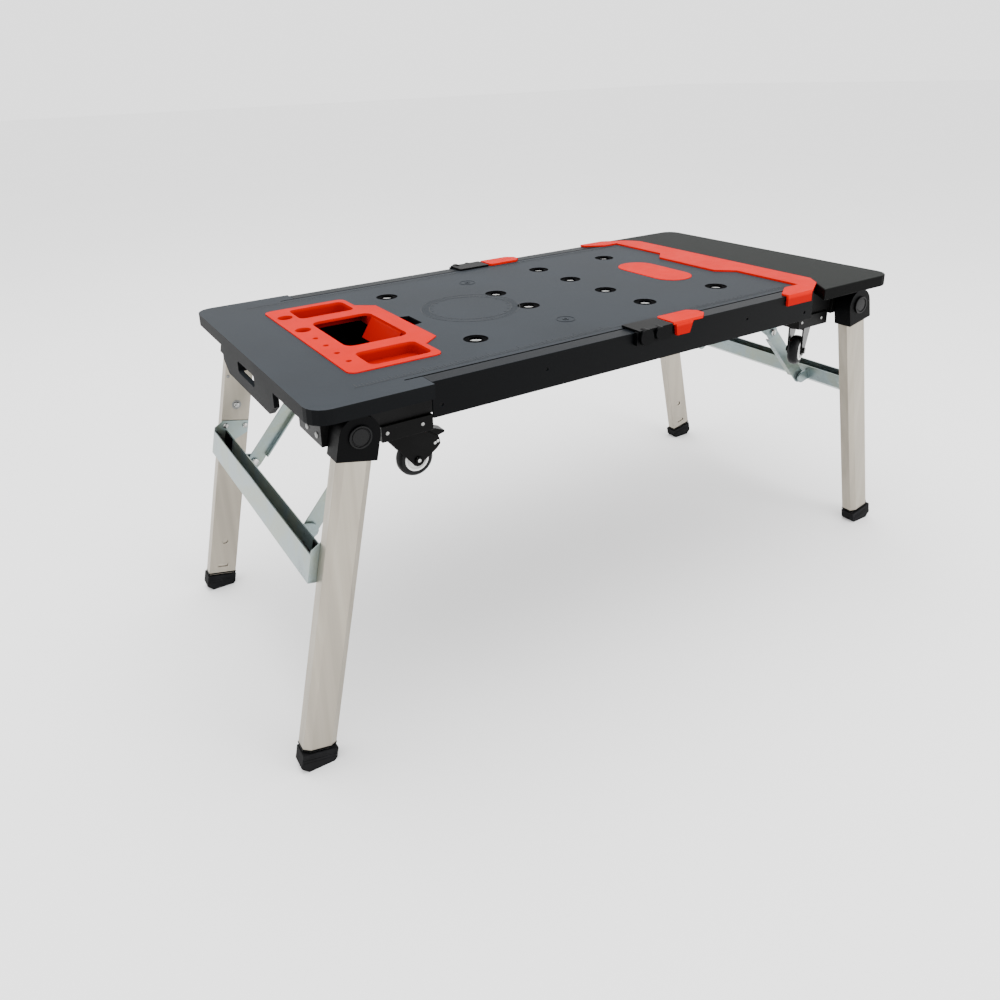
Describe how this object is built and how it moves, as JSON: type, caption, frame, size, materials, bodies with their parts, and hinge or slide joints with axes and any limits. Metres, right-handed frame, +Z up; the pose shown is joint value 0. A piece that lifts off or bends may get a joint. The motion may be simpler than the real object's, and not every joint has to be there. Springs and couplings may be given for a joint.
{
  "type": "folding work platform bench",
  "caption": "Low folding work bench: clamping deck with dog holes and tool tray on folding telescopic legs, with small casters under the deck.",
  "frame": {"origin": "on the floor, under the middle of the deck", "axes": "+X along the deck towards the plain end panel, +Y across it away from the near side, +Z up"},
  "size_m": [1.2198, 0.5606, 0.5255],
  "materials": {
    "deck_grey": "fine texture",
    "end_grey": "fine texture",
    "rail_black": "satin",
    "orange": "satin",
    "black_plastic": "fine texture",
    "frame_black": "powder coat",
    "aluminium": "satin anodised",
    "inner_aluminium": "satin",
    "zinc": "zinc plated",
    "rod_steel": "turned",
    "caster_black": "black plated",
    "tyre_black": "smooth",
    "foot_rubber": "matte",
    "button_steel": "polished"
  },
  "bodies": {
    "deck": {"deck_panel": "deck_grey", "right_end_panel": "end_grey", "cross_trim": "orange", "oval_cover": "orange", "front_rail": "rail_black", "back_rail": "rail_black", "front_rail_bracket": "black_plastic", "back_rail_bracket": "black_plastic", "tool_well": "black_plastic", "front_frame_beam": "frame_black", "back_frame_beam": "frame_black", "left_cross_rod": "rod_steel", "right_cross_rod": "rod_steel", "left_front_caster_mount": "caster_black", "left_back_caster_mount": "caster_black", "right_front_caster_mount": "caster_black", "right_back_caster_mount": "caster_black"},
    "left_leg_frame": {"left_cross_channel": "zinc", "left_front_knuckle": "black_plastic", "left_front_outer_leg": "aluminium", "left_back_knuckle": "black_plastic", "left_back_outer_leg": "aluminium"},
    "left_front_leg_extension": {"left_front_inner_leg": "inner_aluminium", "left_front_foot": "foot_rubber"},
    "left_front_button": {"left_front_spring_button": "button_steel"},
    "left_front_stay_lower": {"left_front_lower_stay": "zinc"},
    "left_front_stay_upper": {"left_front_upper_stay": "zinc"},
    "left_front_caster": {"left_front_caster_fork": "caster_black"},
    "left_front_wheel": {"left_front_caster_wheel": "tyre_black"},
    "left_front_brake": {"left_front_brake_pedal": "caster_black"},
    "left_back_leg_extension": {"left_back_inner_leg": "inner_aluminium", "left_back_foot": "foot_rubber"},
    "left_back_button": {"left_back_spring_button": "button_steel"},
    "left_back_stay_lower": {"left_back_lower_stay": "zinc"},
    "left_back_stay_upper": {"left_back_upper_stay": "zinc"},
    "left_back_caster": {"left_back_caster_fork": "caster_black"},
    "left_back_wheel": {"left_back_caster_wheel": "tyre_black"},
    "left_back_brake": {"left_back_brake_pedal": "caster_black"},
    "right_leg_frame": {"right_cross_channel": "zinc", "right_front_knuckle": "black_plastic", "right_front_outer_leg": "aluminium", "right_back_knuckle": "black_plastic", "right_back_outer_leg": "aluminium"},
    "right_front_leg_extension": {"right_front_inner_leg": "inner_aluminium", "right_front_foot": "foot_rubber"},
    "right_front_button": {"right_front_spring_button": "button_steel"},
    "right_front_stay_lower": {"right_front_lower_stay": "zinc"},
    "right_front_stay_upper": {"right_front_upper_stay": "zinc"},
    "right_front_caster": {"right_front_caster_fork": "caster_black"},
    "right_front_wheel": {"right_front_caster_wheel": "tyre_black"},
    "right_back_leg_extension": {"right_back_inner_leg": "inner_aluminium", "right_back_foot": "foot_rubber"},
    "right_back_button": {"right_back_spring_button": "button_steel"},
    "right_back_stay_lower": {"right_back_lower_stay": "zinc"},
    "right_back_stay_upper": {"right_back_upper_stay": "zinc"},
    "right_back_caster": {"right_back_caster_fork": "caster_black"},
    "right_back_wheel": {"right_back_caster_wheel": "tyre_black"},
    "tray": {"tool_tray": "orange"},
    "front_stop": {"front_sliding_stop": "orange"},
    "back_stop": {"back_sliding_stop": "orange"}
  },
  "joints": [
    {"name": "left_leg_fold", "type": "hinge", "parent": "deck", "child": "left_leg_frame", "pos_m": [-0.486, 0, 0.47], "axis": [0, -1, 0], "range_deg": [0, 102]},
    {"name": "left_front_leg_slide", "type": "slide", "parent": "left_leg_frame", "child": "left_front_leg_extension", "axis": [0.2079, 0, 0.9781], "range_m": [-0.264, 0]},
    {"name": "left_front_button_press", "type": "slide", "parent": "left_leg_frame", "child": "left_front_button", "axis": [0, -1, 0], "range_m": [0, 0.0025], "stiffness_N_per_m": 60},
    {"name": "left_front_lower_stay_turn", "type": "hinge", "parent": "left_leg_frame", "child": "left_front_stay_lower", "pos_m": [-0.5202, -0.13, 0.28507], "axis": [0, -1, 0], "range_deg": [-2, 43.5]},
    {"name": "left_front_upper_stay_turn", "type": "hinge", "parent": "deck", "child": "left_front_stay_upper", "pos_m": [-0.34, -0.133, 0.458], "axis": [0, -1, 0], "range_deg": [-28.7, 2]},
    {"name": "left_front_caster_swivel", "type": "hinge", "parent": "deck", "child": "left_front_caster", "pos_m": [-0.405, -0.208, 0.435], "axis": [0, 0, 1], "continuous": true},
    {"name": "left_front_wheel_spin", "type": "hinge", "parent": "left_front_caster", "child": "left_front_wheel", "pos_m": [-0.3865, -0.208, 0.392], "axis": [0, 1, 0], "continuous": true},
    {"name": "left_front_brake_press", "type": "hinge", "parent": "left_front_caster", "child": "left_front_brake", "pos_m": [-0.358, -0.208, 0.425], "axis": [0, 1, 0], "range_deg": [0, 12]},
    {"name": "left_back_leg_slide", "type": "slide", "parent": "left_leg_frame", "child": "left_back_leg_extension", "axis": [0.2079, 0, 0.9781], "range_m": [-0.264, 0]},
    {"name": "left_back_button_press", "type": "slide", "parent": "left_leg_frame", "child": "left_back_button", "axis": [0, 1, 0], "range_m": [0, 0.0025], "stiffness_N_per_m": 60},
    {"name": "left_back_lower_stay_turn", "type": "hinge", "parent": "left_leg_frame", "child": "left_back_stay_lower", "pos_m": [-0.5202, 0.13, 0.28507], "axis": [0, -1, 0], "range_deg": [-2, 43.5]},
    {"name": "left_back_upper_stay_turn", "type": "hinge", "parent": "deck", "child": "left_back_stay_upper", "pos_m": [-0.34, 0.133, 0.458], "axis": [0, -1, 0], "range_deg": [-28.7, 2]},
    {"name": "left_back_caster_swivel", "type": "hinge", "parent": "deck", "child": "left_back_caster", "pos_m": [-0.405, 0.208, 0.435], "axis": [0, 0, 1], "continuous": true},
    {"name": "left_back_wheel_spin", "type": "hinge", "parent": "left_back_caster", "child": "left_back_wheel", "pos_m": [-0.42332, 0.21058, 0.392], "axis": [-0.1392, -0.9903, 0], "continuous": true},
    {"name": "left_back_brake_press", "type": "hinge", "parent": "left_back_caster", "child": "left_back_brake", "pos_m": [-0.45154, 0.21454, 0.425], "axis": [-0.1392, -0.9903, 0], "range_deg": [0, 12]},
    {"name": "right_leg_fold", "type": "hinge", "parent": "deck", "child": "right_leg_frame", "pos_m": [0.486, 0, 0.47], "axis": [0, 1, 0], "range_deg": [0, 102]},
    {"name": "right_front_leg_slide", "type": "slide", "parent": "right_leg_frame", "child": "right_front_leg_extension", "axis": [-0.2079, 0, 0.9781], "range_m": [-0.264, 0]},
    {"name": "right_front_button_press", "type": "slide", "parent": "right_leg_frame", "child": "right_front_button", "axis": [0, -1, 0], "range_m": [0, 0.0025], "stiffness_N_per_m": 60},
    {"name": "right_front_lower_stay_turn", "type": "hinge", "parent": "right_leg_frame", "child": "right_front_stay_lower", "pos_m": [0.5202, -0.13, 0.28507], "axis": [0, 1, 0], "range_deg": [-2, 43.5]},
    {"name": "right_front_upper_stay_turn", "type": "hinge", "parent": "deck", "child": "right_front_stay_upper", "pos_m": [0.34, -0.133, 0.458], "axis": [0, 1, 0], "range_deg": [-28.7, 2]},
    {"name": "right_front_caster_swivel", "type": "hinge", "parent": "deck", "child": "right_front_caster", "pos_m": [0.405, -0.208, 0.435], "axis": [0, 0, 1], "continuous": true},
    {"name": "right_front_wheel_spin", "type": "hinge", "parent": "right_front_caster", "child": "right_front_wheel", "pos_m": [0.3881, -0.21552, 0.392], "axis": [0.4067, -0.9135, 0], "continuous": true},
    {"name": "right_back_leg_slide", "type": "slide", "parent": "right_leg_frame", "child": "right_back_leg_extension", "axis": [-0.2079, 0, 0.9781], "range_m": [-0.264, 0]},
    {"name": "right_back_button_press", "type": "slide", "parent": "right_leg_frame", "child": "right_back_button", "axis": [0, 1, 0], "range_m": [0, 0.0025], "stiffness_N_per_m": 60},
    {"name": "right_back_lower_stay_turn", "type": "hinge", "parent": "right_leg_frame", "child": "right_back_stay_lower", "pos_m": [0.5202, 0.13, 0.28507], "axis": [0, 1, 0], "range_deg": [-2, 43.5]},
    {"name": "right_back_upper_stay_turn", "type": "hinge", "parent": "deck", "child": "right_back_stay_upper", "pos_m": [0.34, 0.133, 0.458], "axis": [0, 1, 0], "range_deg": [-28.7, 2]},
    {"name": "right_back_caster_swivel", "type": "hinge", "parent": "deck", "child": "right_back_caster", "pos_m": [0.405, 0.208, 0.435], "axis": [0, 0, 1], "continuous": true},
    {"name": "right_back_wheel_spin", "type": "hinge", "parent": "right_back_caster", "child": "right_back_wheel", "pos_m": [0.42238, 0.21433, 0.392], "axis": [-0.342, 0.9397, 0], "continuous": true},
    {"name": "tray_lift", "type": "slide", "parent": "deck", "child": "tray", "axis": [0, 0, 1], "range_m": [0, 0.06]},
    {"name": "front_stop_slide", "type": "slide", "parent": "deck", "child": "front_stop", "axis": [1, 0, 0], "range_m": [0, 0.16]},
    {"name": "back_stop_slide", "type": "slide", "parent": "deck", "child": "back_stop", "axis": [1, 0, 0], "range_m": [0, 0.16]}
  ],
  "couplings": [
    {"joint": "left_front_lower_stay_turn", "follows": "left_leg_fold", "ratio": 0.40702},
    {"joint": "left_front_upper_stay_turn", "follows": "left_leg_fold", "ratio": -0.26174},
    {"joint": "left_back_lower_stay_turn", "follows": "left_leg_fold", "ratio": 0.40702},
    {"joint": "left_back_upper_stay_turn", "follows": "left_leg_fold", "ratio": -0.26174},
    {"joint": "right_front_lower_stay_turn", "follows": "right_leg_fold", "ratio": 0.40702},
    {"joint": "right_front_upper_stay_turn", "follows": "right_leg_fold", "ratio": -0.26174},
    {"joint": "right_back_lower_stay_turn", "follows": "right_leg_fold", "ratio": 0.40702},
    {"joint": "right_back_upper_stay_turn", "follows": "right_leg_fold", "ratio": -0.26174}
  ]
}
